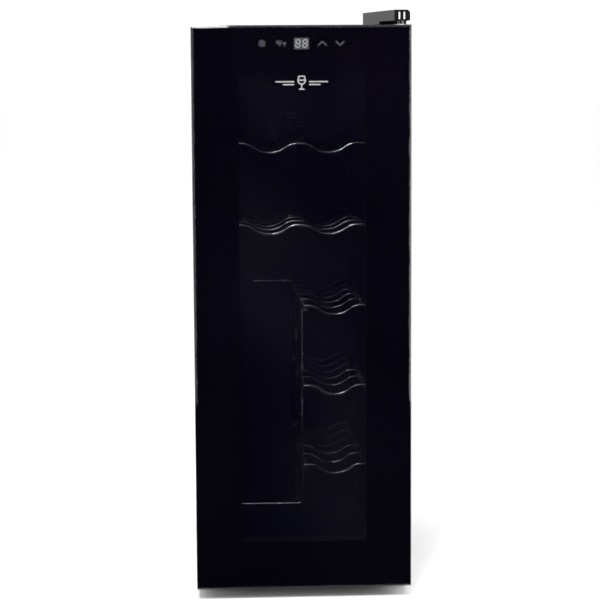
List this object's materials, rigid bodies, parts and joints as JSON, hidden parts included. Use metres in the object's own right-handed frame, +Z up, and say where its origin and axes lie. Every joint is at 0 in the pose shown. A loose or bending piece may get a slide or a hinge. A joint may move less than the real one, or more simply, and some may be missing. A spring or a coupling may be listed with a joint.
{
  "type": "wine cooler",
  "caption": "Slim free-standing thermoelectric wine cooler with a hinged glass door, wire shelves and a rack for standing bottles",
  "frame": {"origin": "middle of the footprint on the floor", "axes": "+Z up; the door faces -Y; +X is the hinge side"},
  "size_m": [0.28, 0.51, 0.7625],
  "materials": {
    "cabinet_paint": "satin black coil-coated steel",
    "back_steel": "matt black coated steel",
    "pu_foam": "rigid polyurethane foam",
    "liner_plastic": "vacuum-formed black polystyrene",
    "tinted_glass": "polished, lightly tinted",
    "clear_glass": "polished",
    "ceramic_print": "black ceramic print behind glass",
    "spacer_metal": "black anodised",
    "door_plastic": "fine-grained black ABS",
    "gasket_rubber": "soft black PVC",
    "chromed_wire": "chromed wire",
    "hinge_steel": "zinc-plated steel",
    "nylon": "natural nylon",
    "cover_plastic": "black ABS",
    "foot_plastic": "black nylon",
    "sink_aluminium": "extruded aluminium",
    "ceramic": "white alumina",
    "fan_plastic": "black PBT",
    "rear_plastic": "textured black ABS",
    "circuit_board": "solder mask",
    "display_plastic": "smoked epoxy",
    "diffuser": "opal polycarbonate"
  },
  "bodies": {
    "cabinet": {"left_side_panel": "cabinet_paint", "right_side_panel": "cabinet_paint", "top_panel": "cabinet_paint", "bottom_plate": "cabinet_paint", "back_panel": "back_steel", "insulation_foam": "pu_foam", "inner_liner": "liner_plastic", "foot_sockets": "foot_plastic", "rear_foot_left": "foot_plastic", "rear_foot_right": "foot_plastic", "upper_hinge_bracket": "hinge_steel", "upper_hinge_pin": "hinge_steel", "lower_hinge_bracket": "hinge_steel", "lower_hinge_pin": "hinge_steel", "hinge_screws": "hinge_steel", "hinge_cover": "cover_plastic", "bottle_rack": "chromed_wire", "cold_fan_frame": "fan_plastic", "hot_fan_frame": "fan_plastic", "cold_sink": "sink_aluminium", "cold_block": "sink_aluminium", "peltier_module": "ceramic", "hot_sink": "sink_aluminium", "cold_cover": "liner_plastic", "rear_cover": "rear_plastic", "rear_cover_screws": "hinge_steel", "power_board": "circuit_board", "board_standoffs": "nylon", "mains_inlet": "rear_plastic", "light_lens": "diffuser", "light_board": "circuit_board", "temperature_sensor": "liner_plastic"},
    "door": {"door_glass": "tinted_glass", "printed_border": "ceramic_print", "glass_spacer": "spacer_metal", "inner_glass": "clear_glass", "door_stile_left": "door_plastic", "door_stile_right": "door_plastic", "door_rail_top": "door_plastic", "door_rail_bottom": "door_plastic", "door_gasket": "gasket_rubber", "control_board": "circuit_board", "digit_display": "display_plastic", "touch_pads": "foot_plastic", "upper_hinge_bush": "nylon", "lower_hinge_bush": "nylon"},
    "shelf_1": {"shelf_1": "chromed_wire"},
    "shelf_2": {"shelf_2": "chromed_wire"},
    "shelf_3": {"shelf_3": "chromed_wire"},
    "shelf_4": {"shelf_4": "chromed_wire"},
    "shelf_5": {"shelf_5": "chromed_wire"},
    "cold_fan_rotor": {"cold_fan_rotor": "fan_plastic"},
    "hot_fan_rotor": {"hot_fan_rotor": "fan_plastic"},
    "front_foot_left": {"front_foot_left": "foot_plastic"},
    "front_foot_right": {"front_foot_right": "foot_plastic"}
  },
  "joints": [
    {"name": "door_hinge", "type": "hinge", "parent": "cabinet", "child": "door", "pos_m": [0.1275, -0.236, 0.38], "axis": [0, 0, 1], "range_deg": [0, 100]},
    {"name": "shelf_1_slide", "type": "slide", "parent": "cabinet", "child": "shelf_1", "axis": [0, -1, 0], "range_m": [0, 0.024]},
    {"name": "shelf_2_slide", "type": "slide", "parent": "cabinet", "child": "shelf_2", "axis": [0, -1, 0], "range_m": [0, 0.024]},
    {"name": "shelf_3_slide", "type": "slide", "parent": "cabinet", "child": "shelf_3", "axis": [0, -1, 0], "range_m": [0, 0.024]},
    {"name": "shelf_4_slide", "type": "slide", "parent": "cabinet", "child": "shelf_4", "axis": [0, -1, 0], "range_m": [0, 0.024]},
    {"name": "shelf_5_slide", "type": "slide", "parent": "cabinet", "child": "shelf_5", "axis": [0, -1, 0], "range_m": [0, 0.024]},
    {"name": "cold_fan_spin", "type": "hinge", "parent": "cabinet", "child": "cold_fan_rotor", "pos_m": [0, 0.138, 0.6], "axis": [0, 1, 0], "continuous": true},
    {"name": "hot_fan_spin", "type": "hinge", "parent": "cabinet", "child": "hot_fan_rotor", "pos_m": [0, 0.238, 0.6], "axis": [0, 1, 0], "continuous": true},
    {"name": "foot_left_turn", "type": "hinge", "parent": "cabinet", "child": "front_foot_left", "pos_m": [-0.11, -0.17, 0.007], "axis": [0, 0, 1], "continuous": true},
    {"name": "foot_right_turn", "type": "hinge", "parent": "cabinet", "child": "front_foot_right", "pos_m": [0.11, -0.17, 0.007], "axis": [0, 0, 1], "continuous": true}
  ]
}
